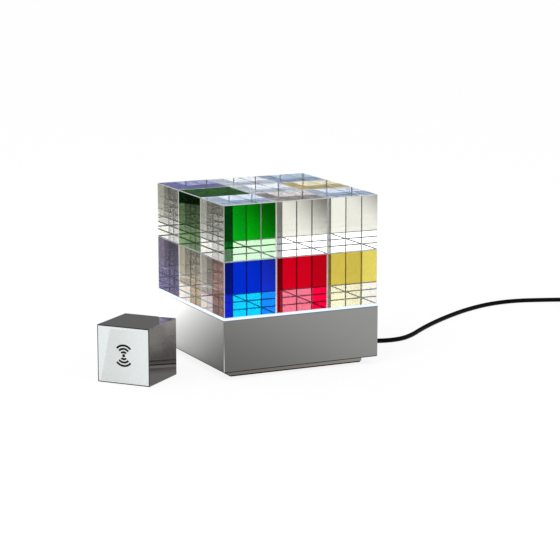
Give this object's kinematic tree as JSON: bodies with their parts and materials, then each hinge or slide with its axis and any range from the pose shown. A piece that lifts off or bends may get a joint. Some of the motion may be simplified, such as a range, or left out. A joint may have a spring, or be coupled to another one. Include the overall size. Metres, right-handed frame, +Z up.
{
  "type": "led cube light",
  "caption": "Small table light: loose coloured and clear glass cubes stand in two layers on a glowing opal plate in a square metal base, with a thin lead and a cube-shaped wireless controller.",
  "frame": {"origin": "centre of the base's underside, on the table", "axes": "+X along the front from left to right, towards the side where the lead leaves; -Y is the front; +Z up"},
  "size_m": [0.5687, 0.157, 0.124],
  "materials": {
    "satin_metal": "satin, fine-blasted and clear anodised",
    "pad_rubber": "matt black sheet",
    "opal": "opal acrylic, lit from below, with glossy faces",
    "steel": "plated steel",
    "spreader_metal": "plain rolled sheet",
    "led_board_white": "white solder mask on an insulated metal board",
    "led_yellow": "phosphor in a white moulded cup",
    "white_plastic": "matt white, for mixing light",
    "circuit_board": "green solder mask on glass-fibre laminate",
    "component_black": "black moulded plastic",
    "wire_insulation": "red wire insulation",
    "cord_black": "smooth satin black sheath",
    "tie_band": "black woven hook-and-loop band",
    "adapter_case": "fine-textured black plastic",
    "pin_metal": "nickel-plated brass",
    "core_metal": "ferrite core with a taped winding",
    "mirror_metal": "mirror-polished",
    "panel_glass": "white-backed glass with a printed grey pictogram",
    "touch_copper": "bare copper foil",
    "frame_plastic": "black moulded plastic",
    "cell_steel": "nickel-plated steel",
    "glass_clear": "polished optical glass with fine ground bevels",
    "glass_blue": "polished optical glass, blue-coated on its front",
    "glass_red": "polished optical glass, red-coated on its front",
    "glass_yellow": "polished optical glass, yellow-coated on its front",
    "glass_green": "polished optical glass, green-coated",
    "glass_violet": "polished optical glass, violet-coated"
  },
  "bodies": {
    "base": {"base_housing": "satin_metal", "base_plate": "satin_metal", "foot_pad": "pad_rubber", "diffuser_plate": "opal", "base_plate_screws": "steel", "led_board_screws": "steel", "control_board_screws": "steel", "cord_clamp_screws": "steel", "heat_spreader": "spreader_metal", "board_standoffs": "spreader_metal", "led_board": "led_board_white", "led_packages": "led_yellow", "reflector_frame": "white_plastic", "control_board": "circuit_board", "adapter_board": "circuit_board", "driver_components": "component_black", "radio_module": "component_black", "cord_terminal": "component_black", "cord_clamp": "component_black", "led_wires": "wire_insulation", "cord_tail": "cord_black", "cord": "cord_black", "cord_coil": "cord_black", "cord_end": "cord_black", "strain_relief": "cord_black", "adapter_bush": "cord_black", "cord_ties": "tie_band", "adapter_front_shell": "adapter_case", "adapter_rear_shell": "adapter_case", "adapter_pins": "pin_metal", "adapter_transformer": "core_metal"},
    "cube_front_left_lower": {"cube_front_left_lower": "glass_blue"},
    "cube_front_left_upper": {"cube_front_left_upper": "glass_clear"},
    "cube_front_centre_lower": {"cube_front_centre_lower": "glass_red"},
    "cube_front_centre_upper": {"cube_front_centre_upper": "glass_clear"},
    "cube_front_right_lower": {"cube_front_right_lower": "glass_yellow"},
    "cube_front_right_upper": {"cube_front_right_upper": "glass_clear"},
    "cube_middle_left_lower": {"cube_middle_left_lower": "glass_clear"},
    "cube_middle_left_upper": {"cube_middle_left_upper": "glass_green"},
    "cube_middle_centre_lower": {"cube_middle_centre_lower": "glass_clear"},
    "cube_middle_centre_upper": {"cube_middle_centre_upper": "glass_clear"},
    "cube_middle_right_lower": {"cube_middle_right_lower": "glass_clear"},
    "cube_middle_right_upper": {"cube_middle_right_upper": "glass_clear"},
    "cube_back_left_lower": {"cube_back_left_lower": "glass_violet"},
    "cube_back_left_upper": {"cube_back_left_upper": "glass_clear"},
    "cube_back_centre_lower": {"cube_back_centre_lower": "glass_clear"},
    "cube_back_centre_upper": {"cube_back_centre_upper": "glass_clear"},
    "cube_back_right_lower": {"cube_back_right_lower": "glass_clear"},
    "cube_back_right_upper": {"cube_back_right_upper": "glass_clear"},
    "controller": {"controller_foot": "pad_rubber", "controller_board": "circuit_board", "controller_radio_chip": "component_black", "controller_cell_holder": "component_black", "controller_shell": "mirror_metal", "controller_front_panel": "panel_glass", "controller_touch_plate": "touch_copper", "controller_frame": "frame_plastic", "controller_coin_cell": "cell_steel"},
    "controller_cover": {"controller_back_cover": "mirror_metal"}
  },
  "joints": [
    {"name": "lift_front_left_lower", "type": "slide", "parent": "base", "child": "cube_front_left_lower", "axis": [0, 0, 1], "range_m": [0, 0.085]},
    {"name": "lift_front_left_upper", "type": "slide", "parent": "cube_front_left_lower", "child": "cube_front_left_upper", "axis": [0, 0, 1], "range_m": [0, 0.045]},
    {"name": "lift_front_centre_lower", "type": "slide", "parent": "base", "child": "cube_front_centre_lower", "axis": [0, 0, 1], "range_m": [0, 0.085]},
    {"name": "lift_front_centre_upper", "type": "slide", "parent": "cube_front_centre_lower", "child": "cube_front_centre_upper", "axis": [0, 0, 1], "range_m": [0, 0.045]},
    {"name": "lift_front_right_lower", "type": "slide", "parent": "base", "child": "cube_front_right_lower", "axis": [0, 0, 1], "range_m": [0, 0.085]},
    {"name": "lift_front_right_upper", "type": "slide", "parent": "cube_front_right_lower", "child": "cube_front_right_upper", "axis": [0, 0, 1], "range_m": [0, 0.045]},
    {"name": "lift_middle_left_lower", "type": "slide", "parent": "base", "child": "cube_middle_left_lower", "axis": [0, 0, 1], "range_m": [0, 0.085]},
    {"name": "lift_middle_left_upper", "type": "slide", "parent": "cube_middle_left_lower", "child": "cube_middle_left_upper", "axis": [0, 0, 1], "range_m": [0, 0.045]},
    {"name": "lift_middle_centre_lower", "type": "slide", "parent": "base", "child": "cube_middle_centre_lower", "axis": [0, 0, 1], "range_m": [0, 0.085]},
    {"name": "lift_middle_centre_upper", "type": "slide", "parent": "cube_middle_centre_lower", "child": "cube_middle_centre_upper", "axis": [0, 0, 1], "range_m": [0, 0.045]},
    {"name": "lift_middle_right_lower", "type": "slide", "parent": "base", "child": "cube_middle_right_lower", "axis": [0, 0, 1], "range_m": [0, 0.085]},
    {"name": "lift_middle_right_upper", "type": "slide", "parent": "cube_middle_right_lower", "child": "cube_middle_right_upper", "axis": [0, 0, 1], "range_m": [0, 0.045]},
    {"name": "lift_back_left_lower", "type": "slide", "parent": "base", "child": "cube_back_left_lower", "axis": [0, 0, 1], "range_m": [0, 0.085]},
    {"name": "lift_back_left_upper", "type": "slide", "parent": "cube_back_left_lower", "child": "cube_back_left_upper", "axis": [0, 0, 1], "range_m": [0, 0.045]},
    {"name": "lift_back_centre_lower", "type": "slide", "parent": "base", "child": "cube_back_centre_lower", "axis": [0, 0, 1], "range_m": [0, 0.085]},
    {"name": "lift_back_centre_upper", "type": "slide", "parent": "cube_back_centre_lower", "child": "cube_back_centre_upper", "axis": [0, 0, 1], "range_m": [0, 0.045]},
    {"name": "lift_back_right_lower", "type": "slide", "parent": "base", "child": "cube_back_right_lower", "axis": [0, 0, 1], "range_m": [0, 0.085]},
    {"name": "lift_back_right_upper", "type": "slide", "parent": "cube_back_right_lower", "child": "cube_back_right_upper", "axis": [0, 0, 1], "range_m": [0, 0.045]},
    {"name": "controller_lift", "type": "slide", "parent": "base", "child": "controller", "axis": [0, 0, 1], "range_m": [0, 0.06]},
    {"name": "controller_cover_pull", "type": "slide", "parent": "controller", "child": "controller_cover", "axis": [0.766, 0.6428, 0], "range_m": [0, 0.01]}
  ]
}
